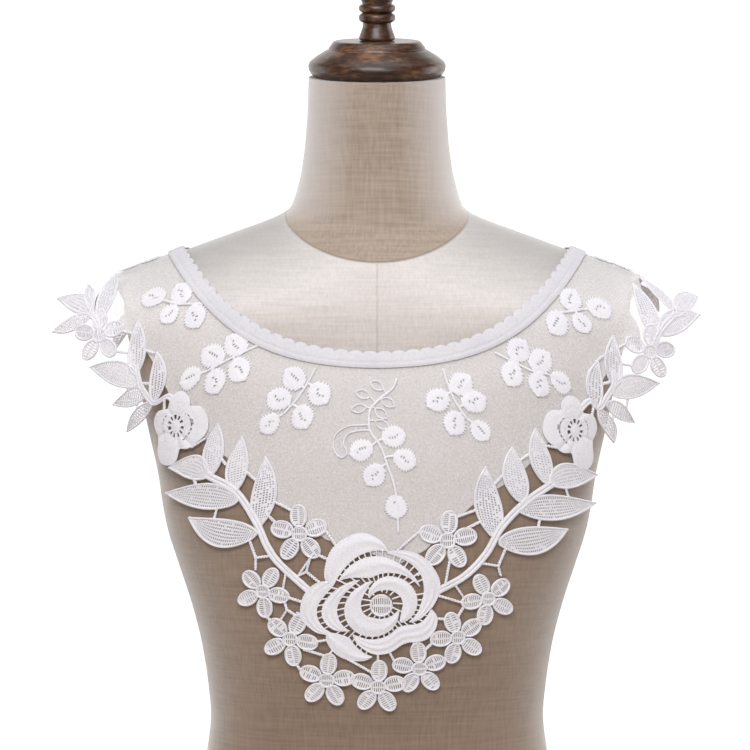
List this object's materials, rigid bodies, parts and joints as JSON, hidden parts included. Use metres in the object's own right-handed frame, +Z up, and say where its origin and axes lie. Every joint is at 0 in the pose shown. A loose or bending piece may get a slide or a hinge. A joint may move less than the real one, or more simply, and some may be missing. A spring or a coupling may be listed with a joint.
{
  "type": "lace collar on a limbless dress form",
  "caption": "Sheer net lace collar with scalloped neck band, corded rose, leaf and flower edging and leaf sprigs, worn on a linen dress form with a turned wood cap.",
  "frame": {"origin": "centre of the bounding box, on the level of the form's flat base", "axes": "+Z up, -Y is the front of the form, +X to the right as seen from the front"},
  "size_m": [0.4824, 0.2156, 0.7496],
  "materials": {
    "linen": "matt natural linen",
    "walnut": "dark satin varnish",
    "net": "sheer fine net",
    "lace": "white cord lace, soft sheen"
  },
  "bodies": {
    "root": {"dress_form": "linen", "neck_cap": "walnut", "finial": "walnut", "net_yoke": "net", "neck_band": "lace", "lace_rose": "lace", "lace_flower_left": "lace", "lace_flower_right": "lace", "lace_flowers_lower": "lace", "lace_spray_left": "lace", "lace_spray_right": "lace", "lace_side_left": "lace", "lace_side_right": "lace", "lace_shoulder_left": "lace", "lace_shoulder_right": "lace", "lace_back_left": "lace", "lace_back_right": "lace", "sprig_left_1": "lace", "sprig_left_2": "lace", "sprig_left_3": "lace", "sprig_right_1": "lace", "sprig_right_2": "lace", "sprig_right_3": "lace", "sprig_centre": "lace", "sprig_back_left": "lace", "sprig_back_right": "lace"}
  },
  "joints": []
}
